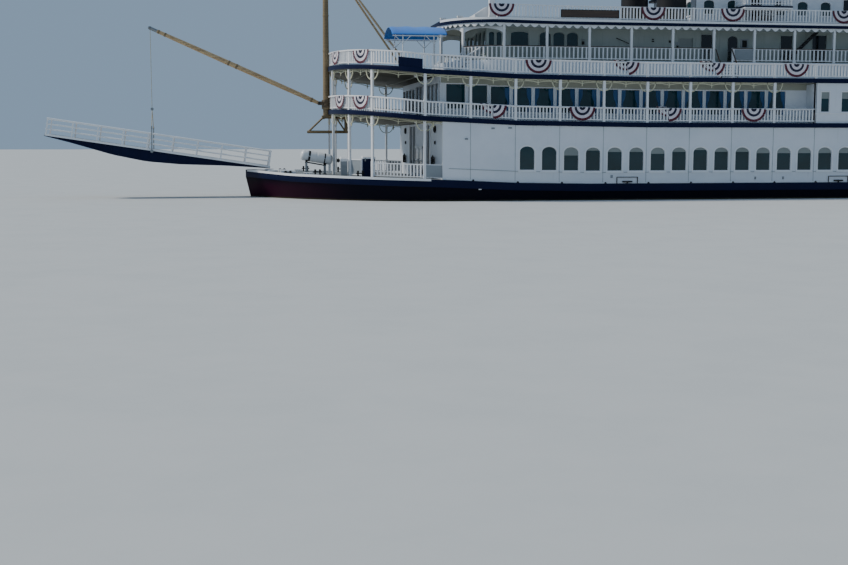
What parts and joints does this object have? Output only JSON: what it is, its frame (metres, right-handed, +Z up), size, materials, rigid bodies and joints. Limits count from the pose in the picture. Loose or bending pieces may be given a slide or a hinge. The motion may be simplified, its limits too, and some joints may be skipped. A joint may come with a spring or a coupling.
{
  "type": "sternwheel paddle boat, one-tenth scale model",
  "caption": "Sternwheel paddle boat at one-tenth scale: white galleried decks with navy edges, twin stacks, stern wheel, boom and landing stage.",
  "frame": {"origin": "centre of the flat hull bottom, amidships", "axes": "+X forward along the boat, +Y to port, +Z up"},
  "size_m": [10.5113, 1.948, 2.5603],
  "materials": {
    "white_paint": "gloss white marine paint",
    "navy_paint": "gloss navy paint on deck edges",
    "hull_paint": "near-black hull paint, maroon towards the bow",
    "black_paint": "matt black stack paint",
    "brown_paint": "brown painted mast",
    "varnished_wood": "varnished tan wood",
    "canvas": "blue canvas",
    "bunting_cloth": "pleated bunting in navy, red and white",
    "red_paint": "red painted wheel",
    "galvanised_steel": "galvanised steel and wire",
    "dark_glass": "dark glazed doors"
  },
  "bodies": {
    "root": {"hull": "hull_paint", "main_deck": "navy_paint", "deck2": "navy_paint", "deck3": "navy_paint", "main_house": "white_paint", "deck2_house": "white_paint", "deck2_columns_port": "white_paint", "deck2_columns_starboard": "white_paint", "deck3_rail_port": "white_paint", "deck3_rail_starboard": "white_paint", "porch_columns_port": "white_paint", "porch_columns_starboard": "white_paint", "gallery_floor": "white_paint", "deck4": "navy_paint", "deck4_nose": "navy_paint", "gallery_house": "white_paint", "gallery_posts_port": "white_paint", "gallery_posts_starboard": "white_paint", "gallery_nose_port": "white_paint", "gallery_nose_starboard": "white_paint", "deck4_rail": "white_paint", "texas_house": "white_paint", "texas_roof": "navy_paint", "bridge_wing_port": "white_paint", "bridge_wing_starboard": "white_paint", "pilothouse": "white_paint", "pilothouse_roof": "navy_paint", "stack_port": "black_paint", "stack_starboard": "black_paint", "stack_spreader": "black_paint", "mast": "brown_paint", "mast_bracket": "brown_paint", "mast_stay_port": "varnished_wood", "mast_stay_starboard": "varnished_wood", "wheel_beam_port": "white_paint", "wheel_beam_starboard": "white_paint", "raft_canister": "white_paint", "raft_cradle": "black_paint", "canopy": "canvas", "canopy_frame": "white_paint", "roof_valance": "white_paint", "rail_panel": "navy_paint", "porch_locker": "navy_paint", "name_board_port": "brown_paint", "name_board_starboard": "brown_paint", "bunting_deck2_port": "bunting_cloth", "bunting_deck2_starboard": "bunting_cloth", "bunting_deck3_port": "bunting_cloth", "bunting_deck3_starboard": "bunting_cloth"},
    "wheel": {"paddle_wheel": "red_paint"},
    "rudder_p": {"rudder_port": "hull_paint"},
    "rudder_s": {"rudder_starboard": "hull_paint"},
    "collar": {"boom_collar": "galvanised_steel"},
    "boom_body": {"boom": "varnished_wood"},
    "falls": {"stage_falls": "galvanised_steel"},
    "stage": {"stage_platform": "navy_paint", "stage_rail_port": "white_paint", "stage_rail_starboard": "white_paint"},
    "door_p": {"porch_door_port": "dark_glass"},
    "door_s": {"porch_door_starboard": "dark_glass"}
  },
  "joints": [
    {"name": "wheel_turn", "type": "hinge", "parent": "root", "child": "wheel", "pos_m": [-4.595, 0, 0.504], "axis": [0, 1, 0], "continuous": true},
    {"name": "rudder_port_turn", "type": "hinge", "parent": "root", "child": "rudder_p", "pos_m": [-3.99, 0.35, 0.06], "axis": [0, 0, 1], "range_deg": [-40, 40]},
    {"name": "rudder_starboard_turn", "type": "hinge", "parent": "root", "child": "rudder_s", "pos_m": [-3.99, -0.35, 0.06], "axis": [0, 0, 1], "range_deg": [-40, 40]},
    {"name": "boom_swing", "type": "hinge", "parent": "root", "child": "collar", "pos_m": [3.585, 0, 0.883], "axis": [0, 0, 1], "range_deg": [-60, 60]},
    {"name": "boom_lift", "type": "hinge", "parent": "collar", "child": "boom_body", "pos_m": [3.637, 0, 0.883], "axis": [0, -1, 0], "range_deg": [0, 15]},
    {"name": "falls_hang", "type": "hinge", "parent": "boom_body", "child": "falls", "pos_m": [4.82094, 0, 1.40025], "axis": [0, 1, 0], "range_deg": [0, 15]},
    {"name": "stage_tilt", "type": "hinge", "parent": "falls", "child": "stage", "pos_m": [4.82299, 0, 0.53938], "axis": [0, 1, 0], "range_deg": [0, 12]},
    {"name": "porch_door_port_swing", "type": "hinge", "parent": "root", "child": "door_p", "pos_m": [2.9103, 0.176, 0.5], "axis": [0, 0, 1], "range_deg": [0, 100]},
    {"name": "porch_door_starboard_swing", "type": "hinge", "parent": "root", "child": "door_s", "pos_m": [2.9103, -0.176, 0.5], "axis": [0, 0, -1], "range_deg": [0, 100]}
  ],
  "couplings": [
    {"joint": "rudder_starboard_turn", "follows": "rudder_port_turn", "ratio": 1},
    {"joint": "falls_hang", "follows": "boom_lift", "ratio": 1}
  ]
}
